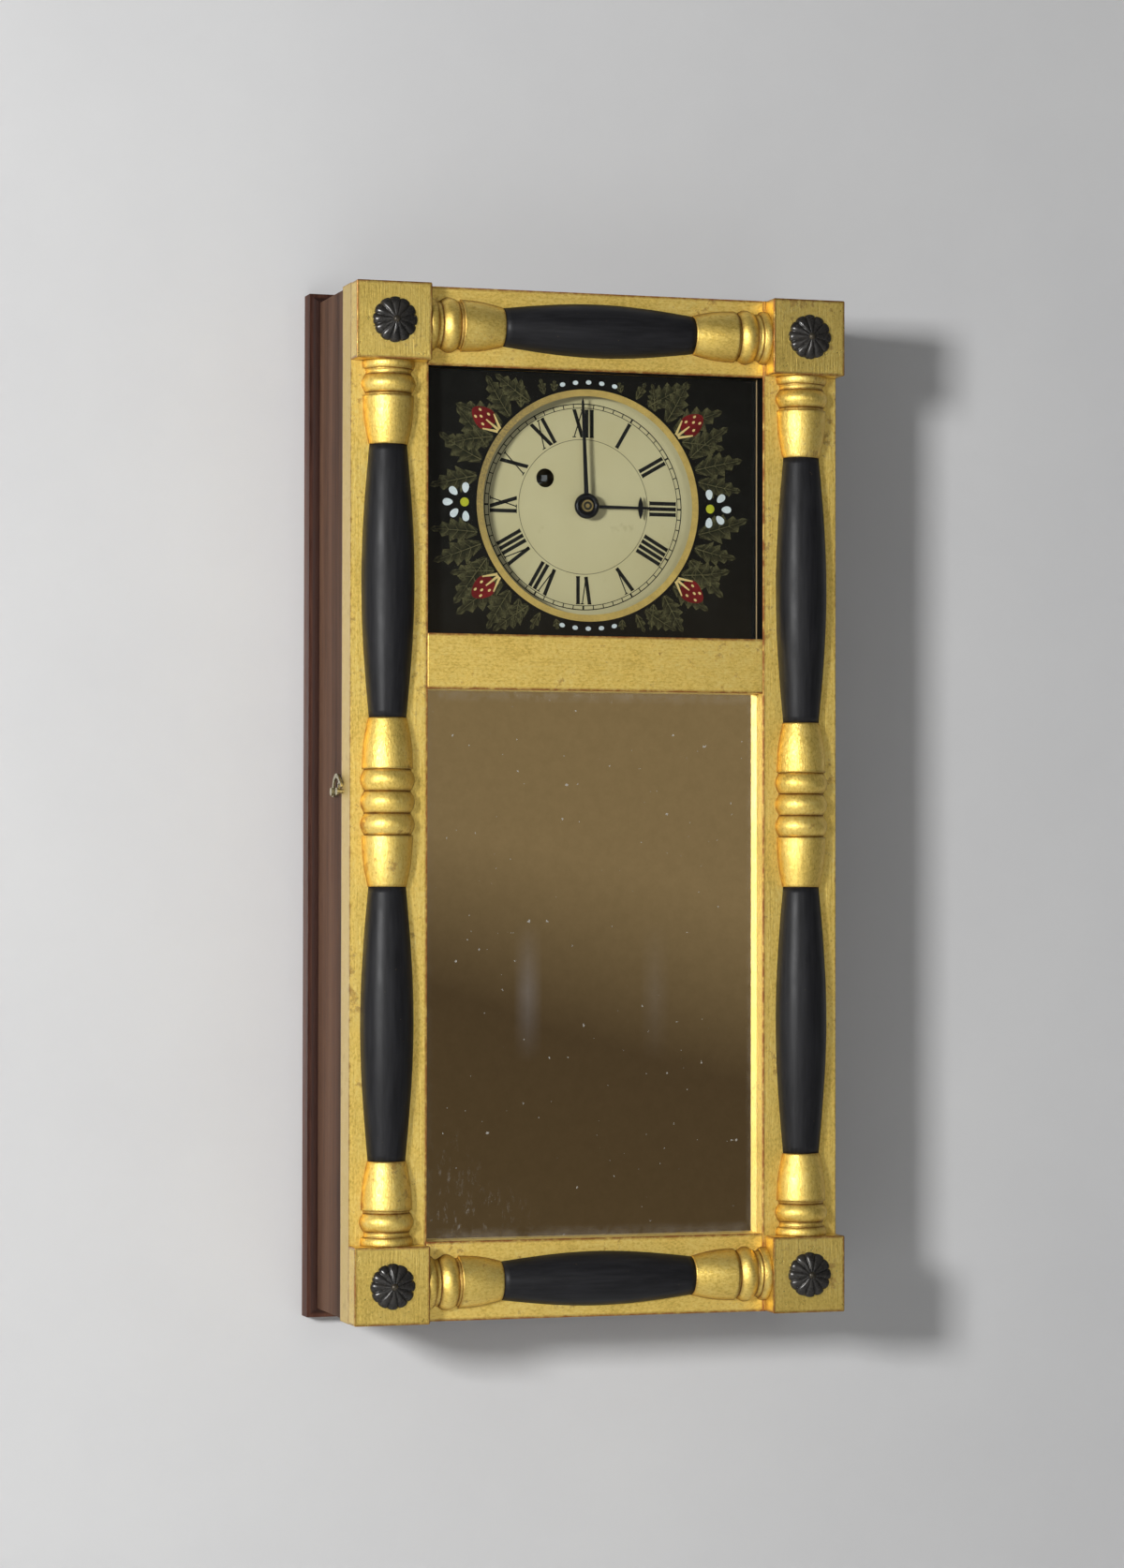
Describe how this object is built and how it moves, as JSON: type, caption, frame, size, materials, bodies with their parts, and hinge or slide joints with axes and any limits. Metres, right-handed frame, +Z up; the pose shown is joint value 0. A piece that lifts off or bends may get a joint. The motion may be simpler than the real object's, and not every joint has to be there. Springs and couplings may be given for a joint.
{
  "type": "mirror clock",
  "caption": "Wall-hung mirror clock: shallow case with a weight-driven pendulum movement behind a gilt door with split columns, painted dial glass and mirror.",
  "frame": {"origin": "centre of the hanging hole on the wall plane", "axes": "+Z up, the front faces -Y, +X to the right as seen from the front, the wall is the plane y = 0"},
  "size_m": [0.385, 0.146, 0.761],
  "materials": {
    "mahogany": "varnished mahogany, worn",
    "pine": "bare pine",
    "gold_leaf": "gold leaf over red clay, with ebonised shafts on the columns",
    "dark_cast_brass": "cast, darkened by age",
    "dial_paint": "cream paint with thin black numerals",
    "tablet_glass": "clear glass, painted on its back",
    "mirror": "old silvering, hazy at the edges",
    "blued_steel": "blued to near black",
    "steel": "fine brushed",
    "iron": "rough cast",
    "cord": "braided cord",
    "tarnished_brass": "tarnished",
    "brass": "lacquered, fine brushed"
  },
  "bodies": {
    "case": {"case_left_side": "mahogany", "case_right_side": "mahogany", "case_top": "mahogany", "case_bottom": "mahogany", "back_board": "pine", "back_moulding": "mahogany", "dial_cleats": "pine", "dial_plate": "dial_paint", "dial_screws": "tarnished_brass", "movement_posts": "brass", "back_plate": "brass", "front_plate": "brass", "plate_pillars": "brass", "plate_nuts": "steel", "suspension_block": "brass", "pulley_bracket": "brass", "cord_hook": "tarnished_brass", "weight_cord": "cord", "hinge_case_leaves": "tarnished_brass", "hinge_pins": "steel", "latch_pivot": "tarnished_brass"},
    "door": {"door_left_stile": "gold_leaf", "door_right_stile": "gold_leaf", "door_top_rail": "gold_leaf", "door_cross_rail": "gold_leaf", "door_bottom_rail": "gold_leaf", "upright_columns": "gold_leaf", "level_columns": "gold_leaf", "corner_blocks": "gold_leaf", "rosettes": "dark_cast_brass", "tablet_glass": "tablet_glass", "mirror_glass": "mirror", "mirror_backing": "pine", "glazing_strips": "pine", "hinge_door_leaves": "tarnished_brass", "latch_pin": "tarnished_brass"},
    "latch": {"latch_hook": "tarnished_brass"},
    "minute": {"centre_wheel": "brass", "cannon_pinion": "brass", "minute_hand": "blued_steel", "hand_collet": "brass"},
    "hour": {"hour_wheel": "brass", "hour_hand": "blued_steel"},
    "minute_work": {"minute_wheel": "brass"},
    "great": {"great_wheel": "brass", "click": "steel"},
    "third": {"third_wheel": "brass"},
    "escape": {"escape_wheel": "brass"},
    "winding": {"winding_arbor": "steel", "winding_drum": "brass"},
    "top_pulley": {"top_pulley": "brass"},
    "weight": {"weight": "iron", "weight_stirrup": "brass"},
    "weight_pulley": {"weight_pulley": "brass"},
    "pendulum": {"pallets": "steel", "crutch": "steel", "suspension_spring": "steel", "pendulum_rod": "steel", "pendulum_bob": "brass", "rating_nut": "brass"}
  },
  "joints": [
    {"name": "door_hinge", "type": "hinge", "parent": "case", "child": "door", "pos_m": [0.19, -0.0935, -0.32], "axis": [0, 0, 1], "range_deg": [0, 180]},
    {"name": "latch_turn", "type": "hinge", "parent": "case", "child": "latch", "pos_m": [-0.189, -0.08, -0.312], "axis": [-1, 0, 0], "range_deg": [-12, 80]},
    {"name": "minute_turn", "type": "hinge", "parent": "case", "child": "minute", "pos_m": [-0.002, -0.08, -0.09975], "axis": [0, 1, 0], "continuous": true},
    {"name": "hour_turn", "type": "hinge", "parent": "case", "child": "hour", "pos_m": [-0.002, -0.08, -0.09975], "axis": [0, 1, 0], "continuous": true},
    {"name": "minute_work_turn", "type": "hinge", "parent": "case", "child": "minute_work", "pos_m": [-0.002, -0.08, -0.11775], "axis": [0, 1, 0], "continuous": true},
    {"name": "great_turn", "type": "hinge", "parent": "case", "child": "great", "pos_m": [-0.0315, -0.06, -0.07905], "axis": [0, 1, 0], "continuous": true},
    {"name": "third_turn", "type": "hinge", "parent": "case", "child": "third", "pos_m": [0.0131, -0.05, -0.07737], "axis": [0, 1, 0], "continuous": true},
    {"name": "escape_turn", "type": "hinge", "parent": "case", "child": "escape", "pos_m": [-0.002, -0.05, -0.05725], "axis": [0, 1, 0], "continuous": true},
    {"name": "weight_slide", "type": "slide", "parent": "case", "child": "weight", "axis": [0, 0, 1], "range_m": [0, 0.414], "deforming": ["weight_cord"]},
    {"name": "winding_turn", "type": "hinge", "parent": "case", "child": "winding", "pos_m": [-0.0315, -0.06, -0.07905], "axis": [0, 1, 0], "range_deg": [0, 5758]},
    {"name": "top_pulley_turn", "type": "hinge", "parent": "case", "child": "top_pulley", "pos_m": [-0.05326, -0.05625, 0.0025], "axis": [0, 1, 0], "range_deg": [0, 1582]},
    {"name": "weight_pulley_turn", "type": "hinge", "parent": "weight", "child": "weight_pulley", "pos_m": [-0.09826, -0.05625, -0.464], "axis": [0, -1, 0], "range_deg": [0, 1582]},
    {"name": "pendulum_swing", "type": "hinge", "parent": "case", "child": "pendulum", "pos_m": [-0.002, -0.05, -0.0325], "axis": [0, 1, 0], "range_deg": [-2.5, 2.5]}
  ],
  "couplings": [
    {"joint": "hour_turn", "follows": "minute_turn", "ratio": 0.083333},
    {"joint": "minute_work_turn", "follows": "minute_turn", "ratio": -0.33333},
    {"joint": "great_turn", "follows": "minute_turn", "ratio": -0.083333},
    {"joint": "third_turn", "follows": "minute_turn", "ratio": -9},
    {"joint": "escape_turn", "follows": "minute_turn", "ratio": 81},
    {"joint": "winding_turn", "follows": "weight_slide", "rad_per_m": 242.72},
    {"joint": "top_pulley_turn", "follows": "weight_slide", "rad_per_m": 66.667},
    {"joint": "weight_pulley_turn", "follows": "weight_slide", "rad_per_m": 66.667}
  ]
}
